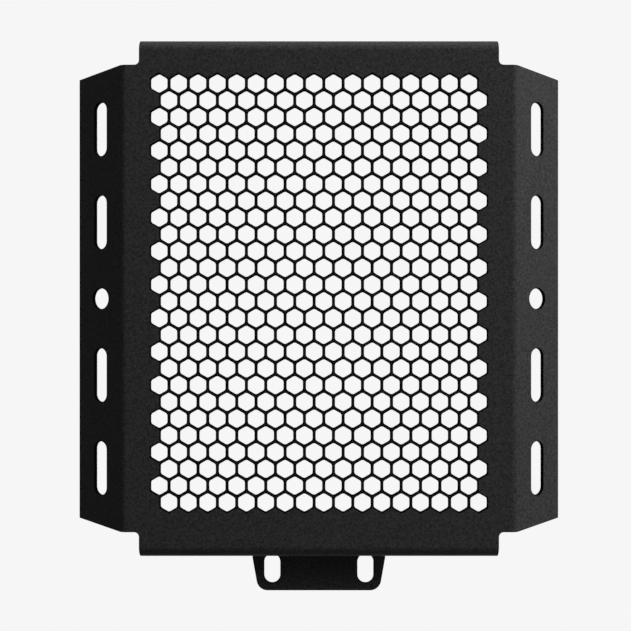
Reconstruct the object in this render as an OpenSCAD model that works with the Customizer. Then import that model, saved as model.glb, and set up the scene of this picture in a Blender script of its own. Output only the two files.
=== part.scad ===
// Radiator guard for a motorcycle: one sheet, cut and folded.
// A flat face carries a field of hexagonal holes. Two wings fold back beside it,
// two flanges fold back above and below it, and a tab folds down from the lower flange.
// +Z is up and the face looks towards -Y. The origin is on the back of the tab,
// midway between its two slots, where the guard is bolted on.

/* [Sheet] */
// Thickness of the sheet
sheet_t = 2; // [1.2:0.1:3]
// Radius on the inner side of every fold
fold_r = 3.8; // [1:0.1:6]

/* [Face] */
// Width of the flat face, from one wing's fold to the other's
face_w = 193; // [150:0.5:260]
// Height of the face beside the wings, from notch to notch
face_h = 234; // [210:0.5:320]
// How far the face runs on above and below the notches, to the outside of the flanges
rim_h = 12.9; // [9:0.1:30]
// Radius in the inner corner of each notch
notch_r = 2.4; // [0.5:0.1:4]

/* [Flanges] */
// Width of the upper and lower flanges
flange_w = 180.2; // [130:0.1:186]
// Depth of the flanges, from the front of the face to their back edge
flange_d = 12; // [11:0.5:30]

/* [Wings] */
// Angle by which each wing is folded back, in degrees
wing_angle = 32.6; // [10:0.1:60]
// Length of each wing's flat, from the end of the fold to its outer edge
wing_l = 28.2; // [21:0.1:60]
// How much each wing's outer edge falls short of the face, at each end
wing_drop = 4.3; // [0.5:0.1:12]

/* [Wing holes] */
// Width of the slots in the wings
slot_w = 8.1; // [4:0.1:11]
// Length of the slots, end to end
slot_l = 27.3; // [14:0.1:34]
// Distance from each wing's outer edge to the line of slots
slot_edge = 14.9; // [8:0.1:16]
// Distance from the end of the face to the middle of the outer slot
slot_end = 31; // [24:0.1:34]
// Distance from the middle of the outer slot to the middle of the inner slot
slot_pitch = 47.2; // [40:0.1:52]
// Diameter of the round hole at mid height
hole_d = 10.6; // [5:0.1:13]

/* [Mesh] */
// Width of each hexagonal hole, from flat to flat
hex_af = 8.28; // [5:0.01:14]
// Width of the web between two holes
hex_web = 1.41; // [0.8:0.01:4]
// Least plain border from a wing's fold to the mesh
mesh_side = 12; // [8:0.1:30]
// Least plain border from the top of the guard to the mesh
mesh_top = 17; // [12:0.1:40]
// Least plain border from the bottom of the guard to the mesh
mesh_bottom = 22.5; // [12:0.1:40]

/* [Tab] */
// Flat run from the lower flange's back edge to the tab's fold
tab_neck = 1.7; // [0.5:0.1:20]
// Width of the tab at its fold
tab_w = 68.5; // [58:0.1:110]
// How much narrower the tab is on each side at its lower edge
tab_taper = 3; // [0:0.1:3.6]
// How far the tab reaches below the lower flange
tab_drop = 20.6; // [19:0.1:50]
// Radius of the tab's lower corners
tab_r = 5.7; // [1:0.1:8]
// Width of the two slots in the tab
tab_slot_w = 8.4; // [4:0.1:9.5]
// Length of the slots in the tab, end to end
tab_slot_l = 15.1; // [10:0.1:15.4]
// Distance between the two slots, middle to middle
tab_slot_gap = 48.1; // [20:0.1:48.5]
// Distance from the tab's lower edge to the end of each slot
tab_slot_edge = 3.9; // [3:0.1:5]

/* [Hidden] */
$fn = 96;
COATING = [0.06, 0.06, 0.065];
// How far a cutter stands out of the sheet on each side
SPARE = 1;
// Flats in each wing's fold
FOLD_STEPS = 12;
// Outer radius of every fold
fold_out = fold_r + sheet_t;
// Half height over the flanges, and up to where their folds begin
half_h = face_h / 2 + rim_h;
plain_half_h = half_h - fold_out;
// The mesh: a staggered grid whose odd and even rows lie half a pitch apart
hex_pitch = hex_af + hex_web;
row_pitch = hex_pitch * sqrt(3) / 2;
hex_tall = hex_af * 2 / sqrt(3);
mesh_cols = floor((face_w - 2 * mesh_side + hex_web) / hex_pitch - 0.5);
mesh_rows = 1 + floor((2 * half_h - mesh_top - mesh_bottom - hex_tall) / row_pitch);
mesh_z = (mesh_bottom - mesh_top) / 2;
// The line of holes in a wing, from the end of the fold, and the heights of its slots
hole_line = wing_l - slot_edge;
slot_heights = [face_h / 2 - slot_end, face_h / 2 - slot_end - slot_pitch];
// Where a wing's fold ends and where the wing ends, seen from the front
fold_end_x = face_w / 2 + fold_out * sin(wing_angle);
wing_end_x = fold_end_x + wing_l * cos(wing_angle);
wing_depth = fold_out + wing_l * sin(wing_angle);
// The tab: front of its flat, height of its fold's axis, lower edge and middle of its slots
tab_front = flange_d + tab_neck + fold_r;
tab_fold_z = -half_h - fold_r;
tab_end_z = -half_h - tab_drop;
tab_slot_z = tab_end_z + tab_slot_edge + tab_slot_l / 2;

// Puts a drawing that was made flat upright, as a plate with its front at y = 0
module plate(thickness = sheet_t) {
    translate([0, thickness, 0]) rotate([90, 0, 0]) linear_extrude(thickness) children();
}

// A quarter fold about the Z axis: it starts on the -Y side and turns towards +X
module quarter_fold(width) {
    rotate([0, 0, -90]) rotate_extrude(angle = 90)
        translate([fold_r, -width / 2]) square([sheet_t, width]);
}

// A slot that stands upright, round at both ends
module slot_shape(width, length) {
    square([width, length - width], center = true);
    for (end = [-1, 1]) translate([0, end * (length - width) / 2]) circle(d = width);
}

// A point of a wing's side of the sheet, at a radius from the axis of its fold
// and as far past the fold's end as is given
function fold_point(radius, angle, past = 0) =
    [face_w / 2 + radius * sin(angle) + past * cos(angle),
     fold_out - radius * cos(angle) + past * sin(angle)];

// The section of the face and both wings, from above: the front of the sheet and then its back
function half_section(radius) = [
    for (i = [0 : FOLD_STEPS]) fold_point(radius, wing_angle * i / FOLD_STEPS),
    fold_point(radius, wing_angle, wing_l)];
function mirrored(points) = [for (p = points) [-p[0], p[1]]];
function backwards(points) = [for (i = [len(points) - 1 : -1 : 0]) points[i]];

module section() {
    front = half_section(fold_out);
    back = half_section(fold_r);
    polygon(concat(backwards(mirrored(front)), front, backwards(back), mirrored(back)));
}

// The fillet in the inner corner of a notch: a square less a quarter of a disc
module notch_fillet() {
    difference() {
        square(notch_r);
        translate([notch_r, notch_r]) circle(r = notch_r);
    }
}

// The outline from the front: the wings' ends slope, and the middle runs on past the flanges' folds
module front_outline() {
    wing_h = face_h - 2 * wing_drop;
    polygon([[-fold_end_x, -face_h / 2], [fold_end_x, -face_h / 2], [wing_end_x, -wing_h / 2],
             [wing_end_x, wing_h / 2], [fold_end_x, face_h / 2], [-fold_end_x, face_h / 2],
             [-wing_end_x, wing_h / 2], [-wing_end_x, -wing_h / 2]]);
    square([flange_w, 2 * half_h], center = true);
    for (side = [0, 1], end = [0, 1])
        mirror([side, 0]) mirror([0, end]) translate([flange_w / 2, face_h / 2]) notch_fillet();
}

// The face with both wings folded back, cut off where the folds of the flanges begin
module face_and_wings() {
    intersection() {
        linear_extrude(2 * plain_half_h, center = true) section();
        plate(wing_depth + sheet_t) front_outline();
    }
}

// The flange above the face: a quarter fold and a short flat that runs back
module flange() {
    translate([0, fold_out, plain_half_h]) rotate([0, -90, 0]) quarter_fold(flange_w);
    translate([-flange_w / 2, fold_out, half_h - sheet_t])
        cube([flange_w, flange_d - fold_out, sheet_t]);
}

// The outline of the tab from the front, tapered and with round lower corners. It starts above the
// middle of the fold, and the flat is cut off there.
module tab_outline() {
    low_w = tab_w - 2 * tab_taper;
    lean = atan2(tab_taper, tab_fold_z - tab_end_z);
    // A corner's centre lies one radius above the lower edge and one radius in from the side
    corner_z = tab_end_z + tab_r;
    corner_x = low_w / 2 + tab_r * tan(lean) - tab_r / cos(lean);
    side_x = corner_x + tab_r * cos(lean);
    side_z = corner_z - tab_r * sin(lean);
    polygon([[-tab_w / 2, -half_h], [-tab_w / 2, tab_fold_z], [-side_x, side_z],
             [-corner_x, corner_z], [-corner_x, tab_end_z], [corner_x, tab_end_z], [corner_x, corner_z],
             [side_x, side_z], [tab_w / 2, tab_fold_z], [tab_w / 2, -half_h]]);
    for (side = [-1, 1]) translate([side * corner_x, corner_z]) circle(r = tab_r);
}

// The tab: a neck that runs on behind the lower flange, a fold that turns down, and the flat
module tab() {
    translate([-tab_w / 2, fold_out, -half_h])
        cube([tab_w, tab_front - fold_r - fold_out, sheet_t]);
    translate([0, tab_front - fold_r, tab_fold_z]) rotate([0, -90, 180]) quarter_fold(tab_w);
    intersection() {
        translate([0, tab_front, 0]) plate() tab_outline();
        translate([-tab_w / 2, tab_front, tab_end_z]) cube([tab_w, sheet_t, tab_fold_z - tab_end_z]);
    }
}

// What is cut from the tab: two upright slots, which reach up into its fold
module tab_slots() {
    for (side = [-1, 1])
        translate([side * tab_slot_gap / 2, tab_front - fold_r, tab_slot_z])
            plate(fold_r + sheet_t + SPARE) slot_shape(tab_slot_w, tab_slot_l);
}

// What is cut from the right wing: four slots in line and a round hole between them
module wing_holes() {
    translate([face_w / 2, fold_out, 0]) rotate([0, 0, wing_angle])
        translate([hole_line, -fold_out - SPARE, 0]) plate(sheet_t + 2 * SPARE) {
            circle(d = hole_d);
            for (end = [-1, 1], z = slot_heights) translate([0, end * z]) slot_shape(slot_w, slot_l);
        }
}

module hexagon() {
    rotate(30) circle(d = hex_tall, $fn = 6);
}

// What is cut from the face: rows of hexagons, every second row half a pitch to the side
module mesh_holes() {
    translate([0, -SPARE, mesh_z]) plate(sheet_t + 2 * SPARE)
        for (row = [0 : mesh_rows - 1], col = [0 : mesh_cols - 1])
            translate([(col - (mesh_cols - 1) / 2 + (row % 2 == 0 ? 1 : -1) / 4) * hex_pitch,
                       (row - (mesh_rows - 1) / 2) * row_pitch])
                hexagon();
}

module guard() {
    color(COATING) translate([0, -tab_front - sheet_t, -tab_slot_z]) difference() {
        union() {
            face_and_wings();
            for (end = [0, 1]) mirror([0, 0, end]) flange();
            tab();
        }
        mesh_holes();
        for (side = [0, 1]) mirror([side, 0, 0]) wing_holes();
        tab_slots();
    }
}

guard();
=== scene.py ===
from math import cos, radians, sin

import bmesh
import bpy
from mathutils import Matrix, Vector


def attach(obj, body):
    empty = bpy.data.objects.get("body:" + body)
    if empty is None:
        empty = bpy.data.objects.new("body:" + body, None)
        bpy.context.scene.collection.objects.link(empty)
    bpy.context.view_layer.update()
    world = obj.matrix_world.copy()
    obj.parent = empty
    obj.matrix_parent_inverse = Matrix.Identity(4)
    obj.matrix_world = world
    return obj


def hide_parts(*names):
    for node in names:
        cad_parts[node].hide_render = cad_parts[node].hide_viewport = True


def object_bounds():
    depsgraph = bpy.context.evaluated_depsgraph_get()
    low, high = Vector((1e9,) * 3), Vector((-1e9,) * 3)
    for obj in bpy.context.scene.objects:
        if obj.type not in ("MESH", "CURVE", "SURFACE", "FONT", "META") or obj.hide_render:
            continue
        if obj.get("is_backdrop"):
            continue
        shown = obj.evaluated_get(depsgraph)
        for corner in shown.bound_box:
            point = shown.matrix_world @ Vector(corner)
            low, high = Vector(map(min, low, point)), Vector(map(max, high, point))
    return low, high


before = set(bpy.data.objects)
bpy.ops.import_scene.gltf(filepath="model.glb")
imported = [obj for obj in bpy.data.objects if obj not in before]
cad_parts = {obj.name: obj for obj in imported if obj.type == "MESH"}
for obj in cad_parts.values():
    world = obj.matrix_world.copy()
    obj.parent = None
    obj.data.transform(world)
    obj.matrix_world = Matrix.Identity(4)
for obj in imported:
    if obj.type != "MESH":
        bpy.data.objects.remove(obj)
cad_low, cad_high = (Vector(corner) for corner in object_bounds())


# The guard is cut from aluminium sheet in one piece, folded, and sprayed with black powder
# that is baked on. The coat flows over the cut edges and rounds them a little, so the sheet
# that is shown is the solid with every cut edge eased and every hole a little narrower.
MM = 0.001
COAT = 0.07 * MM
EASED_EDGE = 0.4 * MM
EASED_WEB = 0.7 * MM
SAME_POINT = 0.001 * MM
FLAT_ANGLE = radians(0.05)
CUT_ANGLE = radians(40)
CREASE_ANGLE = radians(30)
# The material slot for cut faces and their rounding, whose colour is painted shade.
CUT_EDGE_SHADE_SLOT = 1

sheet_mesh = bmesh.new()
sheet_mesh.from_mesh(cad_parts["guard"].data)
bmesh.ops.remove_doubles(sheet_mesh, verts=sheet_mesh.verts, dist=SAME_POINT)
bmesh.ops.dissolve_limit(
    sheet_mesh, angle_limit=FLAT_ANGLE, verts=sheet_mesh.verts, edges=sheet_mesh.edges
)
cut_edges = [edge for edge in sheet_mesh.edges if edge.calc_face_angle(0) > CUT_ANGLE]
barrier = set(cut_edges)


def reached_from(starts, can_cross):
    """The faces that can be reached from some others over edges that can be crossed."""
    found = set(starts)
    to_visit = list(starts)
    while to_visit:
        for edge in filter(can_cross, to_visit.pop().edges):
            new = [face for face in edge.link_faces if face not in found]
            found.update(new)
            to_visit.extend(new)
    return found


# The two big flats, and what they run on into without a cut edge between, are the sheet's skin.
# The other faces are cut, and those that join are one hole's walls or the long outer edge. Walls
# move into their hole by the coat, and the webs between the cells, coated all round, are rounder.
LONGEST_HOLE = 40 * MM
TALLEST_CELL = 10 * MM

big_flats = sorted(sheet_mesh.faces, key=lambda face: face.calc_area())[-2:]
skin = reached_from(big_flats, lambda edge: edge not in barrier)
cut_faces = [face for face in sheet_mesh.faces if face not in skin]
done = set()
around_cells = set()
for face in cut_faces:
    # Cut faces get the coat whose much blacker colour is painted shade.
    face.material_index = CUT_EDGE_SHADE_SLOT
    if face in done:
        continue
    walls = reached_from([face], lambda edge: skin.isdisjoint(edge.link_faces))
    done |= walls
    corners = {corner for wall in walls for corner in wall.verts}
    heights = [corner.co.z for corner in corners]
    tall = max(heights) - min(heights)
    if tall > LONGEST_HOLE:
        continue
    if tall < TALLEST_CELL:
        around_cells |= {edge for wall in walls for edge in wall.edges if edge in barrier}
    for corner in corners:
        inward = [wall.normal for wall in corner.link_faces if wall in walls]
        both = sum(inward, Vector())
        corner.co += both * COAT * len(inward) / both.length_squared
web_edges = [edge for edge in cut_edges if edge in around_cells]
other_edges = [edge for edge in cut_edges if edge not in around_cells]
for edges, eased in ((web_edges, EASED_WEB), (other_edges, EASED_EDGE)):
    rounded = bmesh.ops.bevel(
        sheet_mesh,
        geom=edges,
        affect="EDGES",
        offset=eased,
        segments=2,
        profile=0.5,
        material=-1,
        loop_slide=False,
        clamp_overlap=False,
    )
    # The rounded edges get the same painted-shade coat, far blacker than the faces.
    for face in rounded["faces"]:
        face.material_index = CUT_EDGE_SHADE_SLOT
for face in sheet_mesh.faces:
    face.smooth = True
sheet = bpy.data.objects.new("guard_sheet", bpy.data.meshes.new("guard_sheet"))
sheet_mesh.to_mesh(sheet.data)
sheet_mesh.free()
sheet.data.set_sharp_from_angle(angle=CREASE_ANGLE)
bpy.context.scene.collection.objects.link(sheet)
even = sheet.modifiers.new("even_shading", "WEIGHTED_NORMAL")
even.keep_sharp = True


# The powder coat: deep black and satin, with the fine grain that the melted powder leaves
# and a faint unevenness in its gloss. On the cut edges it is duller, and its colour there is
# painted far blacker, as painted shade for the hole walls and the narrow webs between cells.
# Its specks, patches, waves and grain are sizes on the object.
SPECKS = 1.1 * MM
PATCHES = 14 * MM
LEAST_ROUGH, MOST_ROUGH = 0.5, 0.6
WAVES, WAVE_HEIGHT = 2.6 * MM, 0.05 * MM
GRAIN, GRAIN_HEIGHT = 0.7 * MM, 0.045 * MM
NOISE_LOW, NOISE_HIGH = 0.3, 0.7


def grey(level):
    return (level, level, level, 1)


def mixed_colour(nodes, links, share, first, second):
    """The colour between two: the first where the share is 0, the second where it is 1."""
    node = nodes.new("ShaderNodeMix")
    node.data_type = "RGBA"
    factor, colour_a, colour_b = node.inputs[0], node.inputs[6], node.inputs[7]
    colour_a.default_value, colour_b.default_value = first, second
    links.new(share, factor)
    return node.outputs[2]


def powder_coat(name, dark, light, shine):
    coat = bpy.data.materials.new(name)
    coat.use_nodes = True
    nodes, links = coat.node_tree.nodes, coat.node_tree.links
    shader = nodes["Principled BSDF"]
    shader.inputs["Specular IOR Level"].default_value = shine
    place = nodes.new("ShaderNodeTexCoord")

    def noise(size, detail):
        node = nodes.new("ShaderNodeTexNoise")
        node.inputs["Scale"].default_value = 1 / size
        node.inputs["Detail"].default_value = detail
        links.new(place.outputs["Object"], node.inputs["Vector"])
        return node.outputs["Fac"]

    def spread(source, low, high):
        node = nodes.new("ShaderNodeMapRange")
        node.inputs["From Min"].default_value = NOISE_LOW
        node.inputs["From Max"].default_value = NOISE_HIGH
        node.inputs["To Min"].default_value = low
        node.inputs["To Max"].default_value = high
        links.new(source, node.inputs["Value"])
        return node.outputs["Result"]

    def raised(source, height, below=None):
        node = nodes.new("ShaderNodeBump")
        node.inputs["Distance"].default_value = height
        links.new(source, node.inputs["Height"])
        if below:
            links.new(below, node.inputs["Normal"])
        return node.outputs["Normal"]

    specks = spread(noise(SPECKS, 3), 0, 1)
    tone = mixed_colour(nodes, links, specks, grey(dark), grey(light))
    links.new(tone, shader.inputs["Base Color"])
    patches = spread(noise(PATCHES, 2), LEAST_ROUGH, MOST_ROUGH)
    links.new(patches, shader.inputs["Roughness"])
    waves = raised(noise(WAVES, 2), WAVE_HEIGHT)
    links.new(raised(noise(GRAIN, 2), GRAIN_HEIGHT, waves), shader.inputs["Normal"])
    return coat


sheet.data.materials.append(powder_coat("black_powder_coat", 0.021, 0.058, 0.04))
# The second coat's far blacker colour is painted shade on the cut edges, hole walls and webs.
sheet.data.materials.append(powder_coat("cut_edges_painted_shade", 0.0013, 0.004, 0.01))
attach(sheet, "root")
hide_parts("guard")


# The camera stands square to the face, half a metre off, a little below and to the left of its
# middle, as in the photograph. A pixel of the photograph is half a millimetre at the face.
PHOTO_SIDE = 631
PIXEL = 0.5 * MM
CAMERA_PIXELS_OFF = 1075
LEFT_OF_MIDDLE = 3.45 * PIXEL
BELOW_MIDDLE = 17.05 * PIXEL
HALF_FACE = 129.9 * MM
FACE_MIDDLE_Z = cad_high.z - HALF_FACE

lens = bpy.data.cameras.new("camera")
lens.lens = lens.sensor_width * CAMERA_PIXELS_OFF / PHOTO_SIDE
camera = bpy.data.objects.new("camera", lens)
camera.location = (
    -LEFT_OF_MIDDLE,
    cad_low.y - CAMERA_PIXELS_OFF * PIXEL,
    FACE_MIDDLE_Z - BELOW_MIDDLE,
)
camera.rotation_euler = (radians(90), 0, 0)
bpy.context.scene.collection.objects.link(camera)
bpy.context.scene.camera = camera


# The floor is pale and lies well below the guard, which is held at its tab. Near the guard it
# keeps the guard's shadow, and further off it glows as evenly as the walls, so that no horizon
# shows. It is darker to light on its way, and so throws little up at the guard.
PALE = grey(0.9225)
TO_LIGHT = grey(0.1)
FLOOR_BELOW = 0.12
FLOOR_SIDE = 12
SHADOW_NEAR, SHADOW_FAR = 0.15, 0.32
GLOW_NEAR = 0.7

floor_mesh = bmesh.new()
bmesh.ops.create_grid(floor_mesh, x_segments=1, y_segments=1, size=FLOOR_SIDE / 2)
bmesh.ops.translate(floor_mesh, verts=floor_mesh.verts, vec=(0, 0, cad_low.z - FLOOR_BELOW))
floor = bpy.data.objects.new("floor", bpy.data.meshes.new("floor"))
floor_mesh.to_mesh(floor.data)
floor_mesh.free()
bpy.context.scene.collection.objects.link(floor)
floor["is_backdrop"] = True


def seen_by_eye_or_gloss(nodes, links):
    """1 for what the camera sees, straight or in gloss or glass, and 0 for light on its way."""
    path = nodes.new("ShaderNodeLightPath")
    seen = path.outputs["Is Camera Ray"]
    for kind in ("Is Glossy Ray", "Is Transmission Ray"):
        either = nodes.new("ShaderNodeMath")
        either.operation = "MAXIMUM"
        links.new(seen, either.inputs[0])
        links.new(path.outputs[kind], either.inputs[1])
        seen = either.outputs[0]
    return seen


def pale_floor():
    paint = bpy.data.materials.new("pale_floor")
    paint.use_nodes = True
    nodes, links = paint.node_tree.nodes, paint.node_tree.links
    matt = nodes["Principled BSDF"]
    matt.inputs["Roughness"].default_value = 1
    matt.inputs["Specular IOR Level"].default_value = 0
    glow = nodes.new("ShaderNodeEmission")
    glow.inputs["Color"].default_value = PALE
    seen = seen_by_eye_or_gloss(nodes, links)
    links.new(mixed_colour(nodes, links, seen, TO_LIGHT, PALE), matt.inputs["Base Color"])
    place = nodes.new("ShaderNodeTexCoord")
    off_middle = nodes.new("ShaderNodeVectorMath")
    off_middle.operation = "LENGTH"
    fade = nodes.new("ShaderNodeMapRange")
    fade.interpolation_type = "SMOOTHSTEP"
    fade.inputs["From Min"].default_value = SHADOW_NEAR
    fade.inputs["From Max"].default_value = SHADOW_FAR
    fade.inputs["To Min"].default_value = GLOW_NEAR
    share = nodes.new("ShaderNodeMath")
    share.operation = "MULTIPLY"
    mix = nodes.new("ShaderNodeMixShader")
    links.new(place.outputs["Object"], off_middle.inputs[0])
    links.new(off_middle.outputs["Value"], fade.inputs["Value"])
    links.new(fade.outputs["Result"], share.inputs[0])
    links.new(seen, share.inputs[1])
    links.new(share.outputs[0], mix.inputs[0])
    links.new(matt.outputs[0], mix.inputs[1])
    links.new(glow.outputs[0], mix.inputs[2])
    links.new(mix.outputs[0], nodes["Material Output"].inputs["Surface"])
    return paint


floor.data.materials.append(pale_floor())


# The walls of the room are as pale as the floor to the eye and in gloss. The light that comes
# from them is soft and stands only behind the guard, where it shows the guard's back.
FROM_BEHIND = 0.5
LIGHT_STARTS, LIGHT_FULL = 0.1, 0.5

world = bpy.data.worlds.new("studio")
bpy.context.scene.world = world
world.use_nodes = True
nodes, links = world.node_tree.nodes, world.node_tree.links
room_light = nodes["Background"]
room_light.inputs["Color"].default_value = grey(1)
place = nodes.new("ShaderNodeTexCoord")
toward_back = nodes.new("ShaderNodeVectorMath")
toward_back.operation = "DOT_PRODUCT"
toward_back.inputs[1].default_value = (0, 1, 0)
behind = nodes.new("ShaderNodeMapRange")
behind.interpolation_type = "SMOOTHSTEP"
behind.inputs["From Min"].default_value = LIGHT_STARTS
behind.inputs["From Max"].default_value = LIGHT_FULL
behind.inputs["To Max"].default_value = FROM_BEHIND
pale_walls = nodes.new("ShaderNodeBackground")
pale_walls.inputs["Color"].default_value = PALE
mix = nodes.new("ShaderNodeMixShader")
links.new(place.outputs["Generated"], toward_back.inputs[0])
links.new(toward_back.outputs["Value"], behind.inputs["Value"])
links.new(behind.outputs["Result"], room_light.inputs["Strength"])
links.new(seen_by_eye_or_gloss(nodes, links), mix.inputs[0])
links.new(room_light.outputs[0], mix.inputs[1])
links.new(pale_walls.outputs[0], mix.inputs[2])
links.new(mix.outputs[0], nodes["World Output"].inputs["Surface"])


# Four soft square lamps stand in front, on the right and overhead. They make the right wing and
# the upper fold bright, and leave the left wing dim and the tab in the lower flange's shade.
LAMPS_OFF = 1.5
LAMP_SIDE = 0.6


def soft_lamp(name, azimuth, elevation, power):
    """A lamp that looks at the middle of the guard. Azimuth 0 is in front, 90 on the right."""
    light = bpy.data.lights.new(name, "AREA")
    light.size = LAMP_SIDE
    light.energy = power
    lamp = bpy.data.objects.new(name, light)
    across, up = radians(azimuth), radians(elevation)
    away = Vector((sin(across) * cos(up), -cos(across) * cos(up), sin(up)))
    lamp.location = Vector((0, 0, FACE_MIDDLE_Z)) + LAMPS_OFF * away
    lamp.rotation_euler = away.to_track_quat("Z", "Y").to_euler()
    bpy.context.scene.collection.objects.link(lamp)


soft_lamp("right_lamp", 72, 12, 5.7)
soft_lamp("upper_right_lamp", 65, 30, 15.4)
soft_lamp("high_lamp", 30, 60, 2.8)
soft_lamp("overhead_lamp", 0, 85, 9.9)

bpy.context.scene.view_settings.view_transform = "Standard"
